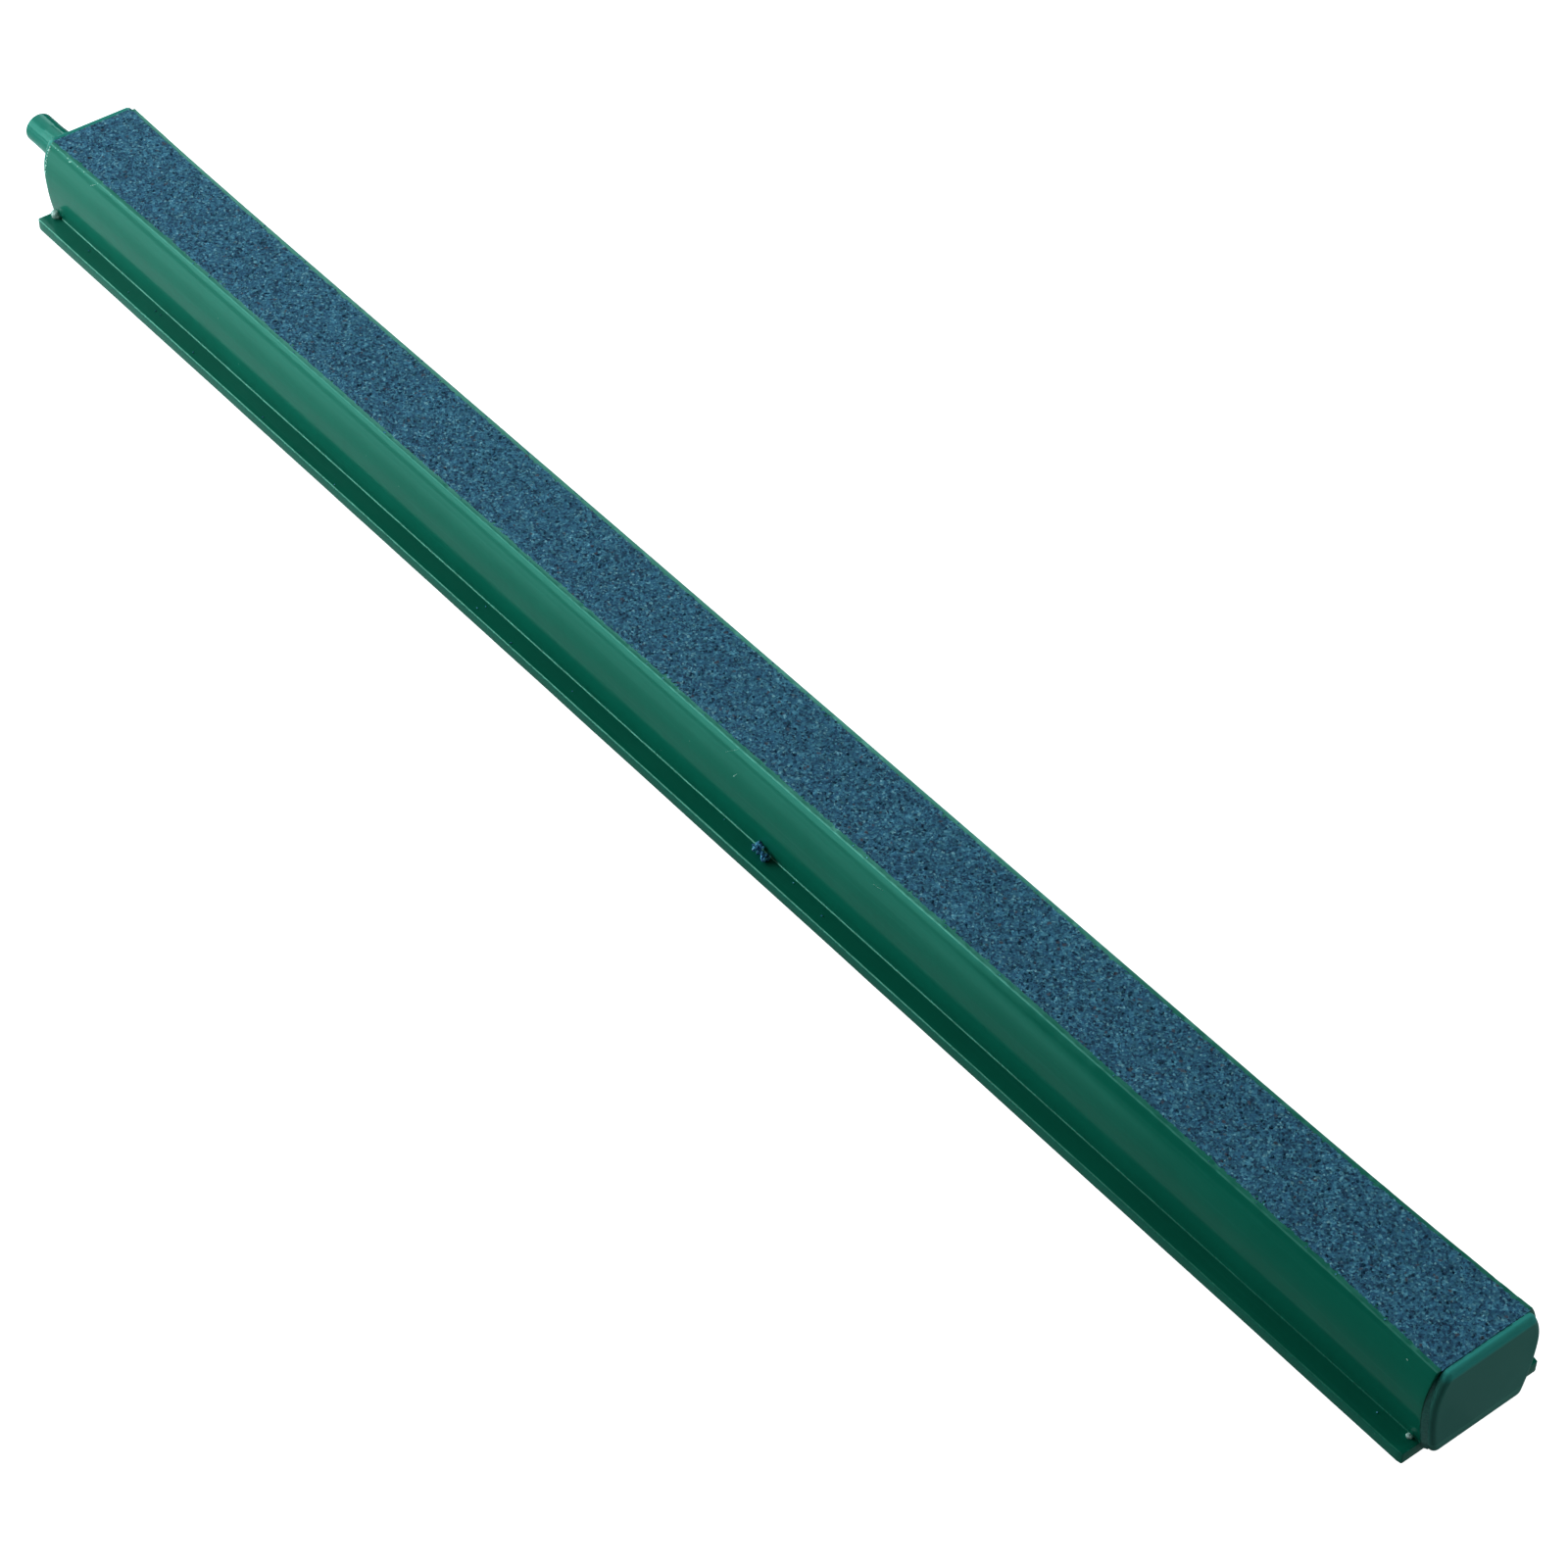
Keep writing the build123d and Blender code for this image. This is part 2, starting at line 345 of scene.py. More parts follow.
# The grit skin: how far it laps over the rim, how proud it stands and how rough it is. Its last
# points, on the rim, turn down by the tuck.
GRIT_LAP = 0.56 * MM
GRIT_LAP_RAGGED = 0.13 * MM
GRIT_PROUD = 0.06 * MM
GRIT_SWELL = 0.05 * MM
GRIT_TUCK = 0.09 * MM
GRAIN_RELIEF = 0.13 * MM
PIT_DEPTH = 0.3 * MM
PIT_LEAST = 0.4
PIT_SHARE = 0.03

# The ragged lap is a fine wave and a coarse one, each with its size, its weight and its seed.
LAP_WAVES = ((0.7 * MM, 0.6, 51), (2.4 * MM, 0.8, 61))

# Noise under the swell: its size along and across the bar, and the level it is read at.
SWELL_SIZE = (5 * MM, 3 * MM)
SWELL_LEVEL = 1.7

# How far a grain strays from its place in the grid, as a share of the step, and how much of that
# is left to the grains on the rim.
GRAIN_STRAY = 0.38
RIM_STRAY = 0.3

# Heights of the points on the stone's hidden sides, and how far they stay off the wall.
SIDE_TOP = BAR_HEIGHT - 0.05 * MM
SIDE_UPPER = 12 * MM
SIDE_LOWER = 5 * MM
SIDE_CLEARANCE = 0.01 * MM
GALLERY_STEPS = 8


def stone_sides(splay):
    """Hidden part of the stone's section, from its right rim down, under and up to its left rim."""
    lower, upper = wall_arcs(splay)
    clear = WALL_THICKNESS + SIDE_CLEARANCE
    corner_up = FLOOR_THICKNESS + FLOOR_CORNER_FILLET
    right = []
    for height in (SIDE_TOP, SIDE_UPPER, BELLY_HEIGHT):
        right.append((upper.half_width(height, clear), height))
    for height in (SIDE_LOWER, corner_up):
        right.append((lower.half_width(height, clear), height))
    corner = lower.half_width(corner_up, clear)
    right.append((corner - FLOOR_CORNER_FILLET, FLOOR_THICKNESS))
    right.append((GALLERY_HALF_WIDTH, FLOOR_THICKNESS))
    gallery_axis = (0, GALLERY_AXIS_HEIGHT)
    arch_points = arc_points(gallery_axis, GALLERY_HALF_WIDTH, 0, math.pi, GALLERY_STEPS)
    arch = [(point[0], point[1]) for point in arch_points]
    left = [(-across, up) for across, up in reversed(right)]
    return right + arch + left


def build_stone(material):
    """The grit stone: a fine grid of grains on top, closed by coarse sides around the gallery."""
    rng = np.random.default_rng(SEED)
    along = stations(CAP_FACE, GRAIN_STEP)
    columns = round(2 * STONE_HALF_WIDTH / GRAIN_STEP)
    share = np.linspace(-1, 1, columns + 1)
    rings = []
    for row, station in enumerate(along):
        splay = splay_at(station)
        upper = wall_arcs(splay)[1]
        inner_rim = upper.half_width(BAR_HEIGHT, WALL_THICKNESS)
        laps = []
        for side in (-1, 1):
            ragged = sum(weight * wave(station, size, seed + side) for size, weight, seed in LAP_WAVES)
            laps.append(inner_rim + GRIT_LAP + GRIT_LAP_RAGGED * ragged)
        across = np.where(share < 0, share * laps[0], share * laps[1])
        jitter = rng.uniform(-GRAIN_STRAY, GRAIN_STRAY, (2, columns + 1)) * GRAIN_STEP
        jitter[:, [0, -1]] *= RIM_STRAY
        if row in (0, len(along) - 1):
            jitter[0] = 0
        relief = rng.uniform(-0.5, 0.5, columns + 1) * GRAIN_RELIEF
        pits = rng.random(columns + 1) < PIT_SHARE
        relief[pits] -= rng.uniform(PIT_LEAST, 1.0, pits.sum()) * PIT_DEPTH
        spots = [Vector((station / SWELL_SIZE[0], y / SWELL_SIZE[1], SWELL_LEVEL)) for y in across]
        swell = np.array([noise.noise(spot) for spot in spots])
        up = BAR_HEIGHT + GRIT_PROUD + relief + GRIT_SWELL * swell
        up = np.where(np.abs(share) == 1, BAR_HEIGHT - GRIT_TUCK, up)
        top = np.stack([station + jitter[0], across + jitter[1], up], axis=1)
        hidden = np.array([(station, y, z) for y, z in stone_sides(splay)])
        rings.append(np.concatenate([top, hidden]))
    faces = ring_faces(len(rings), len(rings[0]))
    piece = add_piece("grit_stone", np.concatenate(rings), faces, material, smooth_to=SHARP_GRAIN)
    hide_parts("stone_bar")


# ---------------------------------------------------------------- lumps: cement drops, crumb, flecks

# How fine the noise is that a lump's surface follows, and how far along it a lump may be read.
LUMP_GRAIN = 2.3
NOISE_SPAN = 50

# How often each kind of lump is subdivided, and how rough it is as a share of its radius.
DROP_FINENESS = 4
DROP_ROUGHNESS = 0.12
FLECK_FINENESS = 1
GRAIN_ROUGHNESS = 0.5
BURR_ROUGHNESS = 0.6


def lump(centre, lobes, fineness, roughness, seed):
    """Closed rounded blob with lobes, as (vertices, faces). Each lobe is (offset, radius)."""
    work = bmesh.new()
    bmesh.ops.create_icosphere(work, subdivisions=fineness, radius=1.0)
    points = []
    for vertex in work.verts:
        way = vertex.co.normalized()
        reach = 0.0
        for offset, radius in lobes:
            towards = way.dot(offset)
            inside = radius ** 2 - (offset.length_squared - towards ** 2)
            if inside > 0:
                reach = max(reach, towards + math.sqrt(inside))
        grain = noise.noise(way * LUMP_GRAIN + Vector((seed, 0, 0)))
        points.append(centre + way * reach * (1 + roughness * grain))
    corners = [[v.index for v in face.verts] for face in work.faces]
    work.free()
    return points, corners


def fleck(centre, size, roughness, rng):
    """A single rough grain or burr: a lump of one lobe, with few faces."""
    lobe = (Vector((0, 0, 0)), size)
    return lump(centre, (lobe,), FLECK_FINENESS, roughness, rng.uniform(0, NOISE_SPAN))


def joined(lumps):
    """Several closed shapes as one list of points and faces."""
    vertices, faces = [], []
    for points, corners in lumps:
        start = len(vertices)
        vertices += points
        faces += [[start + index for index in face] for face in corners]
    return vertices, faces


# Middle of each drop in mm: its distance in from the cut end, out from the waist and up from the
# foot. Its lobes follow, each with its place from that middle and its radius.
INLET_DROP_MIDDLE = Vector((1.3, 0.45, 0.35))
INLET_DROP_LOBES = (((0, 0, 0), 0.72), ((-0.35, -0.15, 0.2), 0.5), ((0.35, 0.1, -0.1), 0.5))
BLANK_DROP_MIDDLE = Vector((1.4, 0.6, 0.2))
BLANK_DROP_LOBES = (((0, 0, 0), 0.36), ((0.26, 0.05, 0.05), 0.26), ((-0.2, 0.1, -0.1), 0.28))


def build_cement_drops(material):
    """The two drops of squeezed-out cement, in the corner of the flange and the side wall."""
    for node, name, end, middle, lobe_sizes in (
        ("inlet_cement_drop", "inlet_drop", -1, INLET_DROP_MIDDLE, INLET_DROP_LOBES),
        ("blank_cement_drop", "blank_drop", 1, BLANK_DROP_MIDDLE, BLANK_DROP_LOBES),
    ):
        inwards, outwards, upwards = middle * MM
        station = end * (TROUGH_END - inwards)
        centre = Vector((station, -WAIST_HALF_WIDTH - outwards, FOOT_THICKNESS + upwards))
        lobes = [(Vector(offset) * MM, radius * MM) for offset, radius in lobe_sizes]
        vertices, faces = lump(centre, lobes, DROP_FINENESS, DROP_ROUGHNESS, len(name))
        piece = add_piece(name, vertices, faces, material, smooth_to=SHARP_NOWHERE)
        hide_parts(node)


# Cement filling the step from the trough's cut end to the cap plate. Its section runs outwards
# from the cut end, in mm: (distance past the cut end, depth under the wall's outer face).
SEAM_SECTION = (
    (-0.02, 0.04), (0.12, 0.09), (0.32, 0.2), (0.55, 0.36), (0.8, 0.5), (0.8, 0.95), (-0.02, 0.95))
SEAM_LOW = 0.9 * MM
SEAM_HIGH = 13.4 * MM
SEAM_STEPS = 48
SEAM_WAVER = 0.04 * MM
SEAM_WAVE_SIZE = 1.5 * MM
SEAM_SEED = 71

# The seam sinks away from the rounded corner of the cap plate towards its top.
SEAM_OPENING = 0.5 * MM
SEAM_OPENING_POWER = 5


def build_seams(material):
    """Four seams of cement up the corners between the trough's cut ends and the cap plates."""
    lumps = []
    for end in (-1, 1):
        lower, upper = wall_arcs(splay_at(end * TROUGH_END))
        for side in (-1, 1):
            points = []
            for step in range(SEAM_STEPS + 1):
                share = step / SEAM_STEPS
                height = SEAM_LOW + share * (SEAM_HIGH - SEAM_LOW)
                arc = upper if height > BELLY_HEIGHT else lower
                outer = arc.half_width(max(height, FOOT_THICKNESS))
                waver = SEAM_WAVER * wave(height, SEAM_WAVE_SIZE, SEAM_SEED + side + 3 * end)
                opening = SEAM_OPENING * share ** SEAM_OPENING_POWER + waver
                for past, depth in SEAM_SECTION:
                    sunk = depth * MM + opening
                    station = end * (TROUGH_END + past * MM)
                    points.append(Vector((station, side * (outer - sunk), height)))
            lumps.append((points, ring_faces(SEAM_STEPS + 1, len(SEAM_SECTION))))
    vertices, faces = joined(lumps)
    piece = add_piece("cap_seams", vertices, faces, material, smooth_to=SHARP_SEAM)


# The crumb's two lobes in mm: place along the bar, radius, height over the foot and distance out
# from the waist. Its grains fill each lobe between two shares of its radius.
CRUMB_LOBES = ((26.6, 1.05, 0.8, 0.85), (28.2, 0.72, 0.5, 1.1))
CRUMB_GRAINS = 34
CRUMB_FILL = (0.35, 0.85)
CRUMB_GRAIN_SIZE = (0.17, 0.3)
CRUMB_CLEARANCE = 0.05 * MM


def build_crumb(material):
    """A crumb of bonded grit stuck in the corner of the flange and the side wall."""
    rng = random.Random(SEED)
    lumps = []
    for station, reach, height, out in CRUMB_LOBES:
        centre = Vector((station * MM, -WAIST_HALF_WIDTH - out * MM, FOOT_THICKNESS + height * MM))
        for _ in range(CRUMB_GRAINS):
            way = Vector((rng.gauss(0, 1), rng.gauss(0, 1), rng.gauss(0, 1))).normalized()
            place = centre + way * reach * MM * rng.uniform(*CRUMB_FILL)
            place.z = max(place.z, FOOT_THICKNESS + CRUMB_CLEARANCE)
            size = rng.uniform(*CRUMB_GRAIN_SIZE) * MM
            lumps.append(fleck(place, size, GRAIN_ROUGHNESS, rng))
    vertices, faces = joined(lumps)
    piece = add_piece("grit_crumb", vertices, faces, material, smooth_to=SHARP_CRUMB)


# Loose grains: one each side of the crumb on the front flange, as (along, across) in mm, and others
# scattered over that flange and along both rims. Bands and sizes are ranges in mm, and a reach is
# a share of the bar's half-length. A grain's middle is raised by a share of its size.
CRUMB_NEIGHBOURS = ((19.0, -8.85), (33.9, -9.0))
LOOSE_GRAINS = 14
LOOSE_REACH = 0.96
LOOSE_BAND = (8.9, 11.0)
RIM_GRAINS = 46
RIM_REACH = 0.98
RIM_BAND = (0.1, 0.3)
LOOSE_GRAIN_SIZE = (0.07, 0.14)
LOOSE_RAISED = 0.35


def build_loose_grit(material):
    """Single grains that came off the stone: a few on the front flange, more along the rims."""
    rng = random.Random(SEED + 1)
    lumps = []
    places = [(station * MM, across * MM, FOOT_THICKNESS) for station, across in CRUMB_NEIGHBOURS]
    for _ in range(LOOSE_GRAINS):
        station = rng.uniform(-LOOSE_REACH, LOOSE_REACH) * TROUGH_END
        places.append((station, -rng.uniform(*LOOSE_BAND) * MM, FOOT_THICKNESS))
    for _ in range(RIM_GRAINS):
        station = rng.uniform(-RIM_REACH, RIM_REACH) * TROUGH_END
        rim = wall_arcs(splay_at(station))[1].half_width(BAR_HEIGHT) - rng.uniform(*RIM_BAND) * MM
        places.append((station, rng.choice((-1, 1)) * rim, BAR_HEIGHT - RIM_WAVER))
    for station, across, up in places:
        size = rng.uniform(*LOOSE_GRAIN_SIZE) * MM
        place = Vector((station, across, up + size * LOOSE_RAISED))
        lumps.append(fleck(place, size, GRAIN_ROUGHNESS, rng))
    vertices, faces = joined(lumps)
    piece = add_piece("loose_grit_painted_light", vertices, faces, material, smooth_to=SHARP_CRUMB)


def wall_point(station, height):
    """Point on the outside of the front wall, and the way that the wall faces there."""
    lower, upper = wall_arcs(splay_at(station))
    arc = upper if height > BELLY_HEIGHT else lower
    across = arc.half_width(height)
    facing = Vector((0, arc.centre - across, height - BELLY_HEIGHT)).normalized()
    return Vector((station, -across, height)), facing


BURR_SUNK = 0.35


def burr(place, facing, size, rng):
    """A fleck of raised plastic, sunk by a share of its size into the face it sits on."""
    return fleck(place - facing * size * BURR_SUNK, size, BURR_ROUGHNESS, rng)


# Scratches on the front wall, in mm: (along, height) of the start and of the end, how many flecks
# each has and how large they are. A fleck strays by a share of the gap to the next one.
SCRATCHES = (
    ((17.9, 13.0), (19.5, 14.2), 9, 0.06),
    ((20.5, 10.9), (20.9, 11.5), 6, 0.1),
    ((-138.2, 13.5), (-137.4, 14.0), 8, 0.09),
    ((-144.6, 14.1), (-144.2, 14.3), 3, 0.12),
    ((48.6, 12.8), (50.2, 13.0), 8, 0.07),
    ((145.7, 13.1), (145.9, 13.1), 2, 0.1),
)
SCRATCH_STRAY = 0.3
SCRATCH_SIZES = (0.6, 1.1)

# Flecks under the rim near the inlet end, in mm.
RIM_FLECKS = (-148.6, -147.9, -145.2, -142.5, -140.8, -137.0, -133.4)
RIM_FLECK_HEIGHT = 14.35
RIM_FLECK_SIZE = (0.07, 0.14)

# Burrs up the cut end of the front wall, as (lowest, highest, count), and along that of the
# flange, as (outermost, innermost, count). Distances are in mm.
WALL_BURRS = (9.5, 14.2, 15)
WALL_BURR_SHIFT = (0, 0.2)
WALL_BURR_STRAY = (-0.2, 0.2)
WALL_BURR_SIZE = (0.09, 0.2)
FLANGE_BURRS = (-11.1, -9.0, 12)
FLANGE_BURR_SIZE = (0.05, 0.1)


def build_burrs(material):
    """Pale scratches and flecks on the front wall, and burrs along the saw-cut inlet end."""
    rng = random.Random(SEED + 2)
    lumps = []
    for start, end, count, size in SCRATCHES:
        for step in range(count):
            share = (step + rng.uniform(-SCRATCH_STRAY, SCRATCH_STRAY)) / (count - 1)
            station = start[0] + share * (end[0] - start[0])
            height = start[1] + share * (end[1] - start[1])
            place, facing = wall_point(station * MM, height * MM)
            lumps.append(burr(place, facing, size * rng.uniform(*SCRATCH_SIZES) * MM, rng))

    for station in RIM_FLECKS:
        place, facing = wall_point(station * MM, RIM_FLECK_HEIGHT * MM)
        lumps.append(burr(place, facing, rng.uniform(*RIM_FLECK_SIZE) * MM, rng))

    cut = -TROUGH_END + CUT_EDGE_ROUND
    for height in np.linspace(*WALL_BURRS):
        station = cut + rng.uniform(*WALL_BURR_SHIFT) * MM
        place, facing = wall_point(station, (height + rng.uniform(*WALL_BURR_STRAY)) * MM)
        lumps.append(burr(place, facing, rng.uniform(*WALL_BURR_SIZE) * MM, rng))
    for across in np.linspace(*FLANGE_BURRS):
        place = Vector((cut, across * MM, FOOT_THICKNESS))
        lumps.append(burr(place, Vector((0, 0, 1)), rng.uniform(*FLANGE_BURR_SIZE) * MM, rng))
    vertices, faces = joined(lumps)
    piece = add_piece("wear_burrs", vertices, faces, material, smooth_to=SHARP_NOWHERE)


# ---------------------------------------------------------------- materials

class Shader:
    """A procedural material, with short ways to add its nodes."""

    def __init__(self, name):
        """Starts from the place of each point on the bar, and its three parts."""
        self.material = bpy.data.materials.new(name)
        self.material.use_nodes = True
        self.tree = self.material.node_tree
        self.surface = self.tree.nodes["Principled BSDF"]
        self.place = self.node("ShaderNodeTexCoord").outputs["Object"]
        split = self.node("ShaderNodeSeparateXYZ")
        self.feed(split.inputs[0], self.place)
        self.along, self.across, self.height = split.outputs

    def node(self, kind, **settings):
        """A new node of a kind, with its settings."""
        made = self.tree.nodes.new(kind)
        for key, value in settings.items():
            setattr(made, key, value)
        return made

    def feed(self, socket, value):
        """Links another node's output to a socket, or sets the socket to a plain value."""
        if isinstance(value, bpy.types.NodeSocket):
            self.tree.links.new(value, socket)
        else:
            socket.default_value = value

    def math(self, operation, first, second=0.0):
        """Result of one operation on one or two values."""
        made = self.node("ShaderNodeMath", operation=operation)
        self.feed(made.inputs[0], first)
        self.feed(made.inputs[1], second)
        return made.outputs[0]

    def product(self, *factors):
        """All the factors multiplied together, in their order."""
        result = factors[0]
        for factor in factors[1:]:
            result = self.math("MULTIPLY", result, factor)
        return result

    def inverse(self, share):
        """What is left of 1 after a share."""
        return self.math("SUBTRACT", 1.0, share)

    def stretched(self, scale):
        """The place, scaled along each axis."""
        made = self.node("ShaderNodeVectorMath", operation="MULTIPLY")
        self.feed(made.inputs[0], self.place)
        self.feed(made.inputs[1], scale)
        return made.outputs[0]

    def noise(self, size, detail, stretch=(1, 1, 1)):
        """Noise whose bumps are about size metres across, drawn out by the stretch."""
        made = self.node("ShaderNodeTexNoise")
        self.feed(made.inputs["Vector"], self.stretched([1 / (size * s) for s in stretch]))
        self.feed(made.inputs["Scale"], 1.0)
        self.feed(made.inputs["Detail"], detail)
        return made.outputs["Fac"]

    def cells(self, size):
        """Voronoi cells about size metres across."""
        made = self.node("ShaderNodeTexVoronoi")
        self.feed(made.inputs["Vector"], self.stretched([1 / size] * 3))
        self.feed(made.inputs["Scale"], 1.0)
        return made

    def ramp(self, value, stops):
        """Colour, or shade of grey, that a value reads between stops of (position, colour)."""
        made = self.node("ShaderNodeValToRGB")
        elements = made.color_ramp.elements
        while len(elements) < len(stops):
            elements.new(0.5)
        for element, (position, color) in zip(elements, stops):
            element.position = position
            element.color = (*color, 1) if isinstance(color, tuple) else (color, color, color, 1)
        self.feed(made.inputs["Fac"], value)
        return made.outputs["Color"]

    def step(self, value, low, high):
        """0 below low, 1 above high, smooth between."""
        made = self.node("ShaderNodeMapRange", interpolation_type="SMOOTHSTEP")
        self.feed(made.inputs["Value"], value)
        self.feed(made.inputs["From Min"], low)
        self.feed(made.inputs["From Max"], high)
        return made.outputs["Result"]

    def mix(self, share, first, second, blend="MIX"):
        """The first colour with a share of the second blended in."""
        made = self.node("ShaderNodeMix", data_type="RGBA", blend_type=blend)
        self.feed(made.inputs["Factor"], share)
        self.feed(made.inputs["A"], (*first, 1) if isinstance(first, tuple) else first)
        self.feed(made.inputs["B"], (*second, 1) if isinstance(second, tuple) else second)
        return made.outputs["Result"]

    def red(self, color):
        """Red part of a colour: for a cell's colour, a random number of its own."""
        made = self.node("ShaderNodeSeparateColor")
        self.feed(made.inputs["Color"], color)
        return made.outputs["Red"]

    def bump(self, height, depth):
        """Normal of a surface whose relief is the height times the depth."""
        made = self.node("ShaderNodeBump")
        self.feed(made.inputs["Height"], height)
        self.feed(made.inputs["Distance"], depth)
        self.feed(made.inputs["Strength"], 1.0)
        return made.outputs["Normal"]

    def finish(self, **sockets):
        """Feeds the surface's sockets, named with _ for spaces, and returns the material."""
        for name, value in sockets.items():
            socket = self.surface.inputs[name.replace("_", " ")]
            self.feed(socket, (*value, 1) if isinstance(value, tuple) and len(value) == 3 else value)
        return self.material


TROUGH_GREEN = (0.005, 0.152, 0.098)
INLET_CAP_GREEN = (0.006, 0.2, 0.145)
BLANK_CAP_GREEN = (0.055, 0.225, 0.19)
PALE_GREEN = (0.035, 0.26, 0.2)
# Pale rim: partly wear, partly painted highlight.
WORN_AND_HIGHLIGHT_GREEN = (0.2, 0.6, 0.48)
SPECK_GREEN = (0.35, 0.5, 0.42)
BURR_GREEN = (0.6, 0.9, 0.78)
# Painted highlight along the foot's edges and the crease.
HIGHLIGHT_LINE_GREEN = (0.26, 0.68, 0.52)
GREEN_SHEEN = (0.2, 1.0, 0.8, 1.0)
# Painted highlight on a cap's upper edge.
CAP_EDGE_HIGHLIGHT_GREEN = (0.06, 0.42, 0.38)

# Plastic: sizes and strengths of its clouding, drawn streaks, specks, patches in the pale rim and
# lines, scuffs and fine grain. A step is the range of the noise over which each of them sets in.
CLOUD_SIZE = 14 * MM
CLOUD_STEP = (0.35, 0.7)
CLOUD_LIFT = 1.08
STREAK_SIZE = 0.5 * MM
STREAK_STEP = (0.55, 0.75)
STREAK_STRETCH = (60, 1, 1)
STREAK_PALENESS = 0.1
SPECK_CELL = 1.6 * MM
SPECK_EDGE = (0.03, 0.06)
SPECK_CHOSEN = (0.93, 0.94)
SPECK_PALENESS = 0.5
PATCH_SIZE = 0.5 * MM
PATCH_STEP = (0.3, 0.6)
PATCH_STRETCH = (3, 1, 1)
SCUFF_SIZE = 5 * MM
SCUFF_STEP = (0.5, 0.75)
SCUFF_ROUGHNESS = 0.08
FINE_GRAIN_SIZE = 0.12 * MM
FINE_GRAIN_SHARE = 0.25
PLASTIC_RELIEF = 0.004 * MM

# The rim is pale from wear and from a painted highlight on its rounding. The paleness sets in over a
# rise, is less on the rim's flat top, and is most just past the middle of the bar. It fades over a
# stretch of the bar towards each end.
RIM_PALE_RISE = (BAR_HEIGHT - 1.6 * RIM_ROUND, BAR_HEIGHT - 1.1 * RIM_ROUND)
RIM_FLAT_RISE = (BAR_HEIGHT - 0.3 * RIM_ROUND, BAR_HEIGHT)
RIM_FLAT_SPARED = 0.7
RIM_BLANK_FADE = (50 * MM, 110 * MM)
RIM_BLANK_FADED = 0.65
RIM_INLET_FADE = (-40 * MM, 60 * MM)
RIM_INLET_PALENESS = 0.3
RIM_MIDDLE_PALENESS = 0.65
RIM_EVEN_PALENESS = 0.5
RIM_PATCHY_PALENESS = 0.4
WORN_ROUGHNESS = 0.2

# A cap's upper edge has a pale painted highlight between these heights.
CAP_HIGHLIGHT_RISE = (BAR_HEIGHT - 1.3 * MM, BAR_HEIGHT - 0.5 * MM)

# Painted highlights: pale lines run along the foot's upper edges and in the crease where the side wall
# meets the foot.
SOFT = 0.04 * MM
FOOT_EDGE_RISE = (FOOT_HALF_WIDTH - 0.2 * MM, FOOT_HALF_WIDTH - 0.12 * MM)
FOOT_TOP_RISE = (FOOT_THICKNESS - 0.12 * MM, FOOT_THICKNESS - SOFT)
FOOT_EDGE_HIGHLIGHT = 0.95
CREASE_REACH = WAIST_HALF_WIDTH + 0.15 * MM
CREASE_HEIGHT = FOOT_THICKNESS + 0.07 * MM
CREASE_START = (-TROUGH_END + 1.5 * MM, -TROUGH_END + 2.5 * MM)
LINES_FADE = (30 * MM, 130 * MM)
LINES_FADED = 0.85
LINES_EVEN = 0.7
LINES_PATCHY = 0.3


def foot_highlight_lines(s):
    """Painted highlight: 1 along the foot's upper edges and the crease of foot and wall, fading to the
    blank end.
    """
    across = s.math("ABSOLUTE", s.across)
    foot = s.product(s.step(across, *FOOT_EDGE_RISE), s.step(s.height, *FOOT_TOP_RISE))
    near = s.inverse(s.step(across, CREASE_REACH, CREASE_REACH + SOFT))
    low = s.inverse(s.step(s.height, CREASE_HEIGHT, CREASE_HEIGHT + SOFT))
    above = s.step(s.height, 0, FOOT_THICKNESS)
    crease = s.product(near, low, above, s.step(s.along, *CREASE_START))
    fading = s.inverse(s.product(s.step(s.along, *LINES_FADE), LINES_FADED))
    return s.product(s.math("MAXIMUM", s.product(foot, FOOT_EDGE_HIGHLIGHT), crease), fading)


def rim_wear_and_highlight(s, patchy):
    """How pale the rim is, from 0 to 1: partly wear and partly a painted highlight."""
    rim = s.step(s.height, *RIM_PALE_RISE)
    flat = s.step(s.height, *RIM_FLAT_RISE)
    rim = s.product(rim, s.inverse(s.product(flat, RIM_FLAT_SPARED)))
    blank_fading = s.inverse(s.product(s.step(s.along, *RIM_BLANK_FADE), RIM_BLANK_FADED))
    middle = s.product(s.step(s.along, *RIM_INLET_FADE), RIM_MIDDLE_PALENESS)
    inlet_fading = s.math("ADD", RIM_INLET_PALENESS, middle)
    strength = s.math("ADD", RIM_EVEN_PALENESS, s.product(patchy, RIM_PATCHY_PALENESS))
    return s.product(s.product(rim, blank_fading), s.product(strength, inlet_fading))


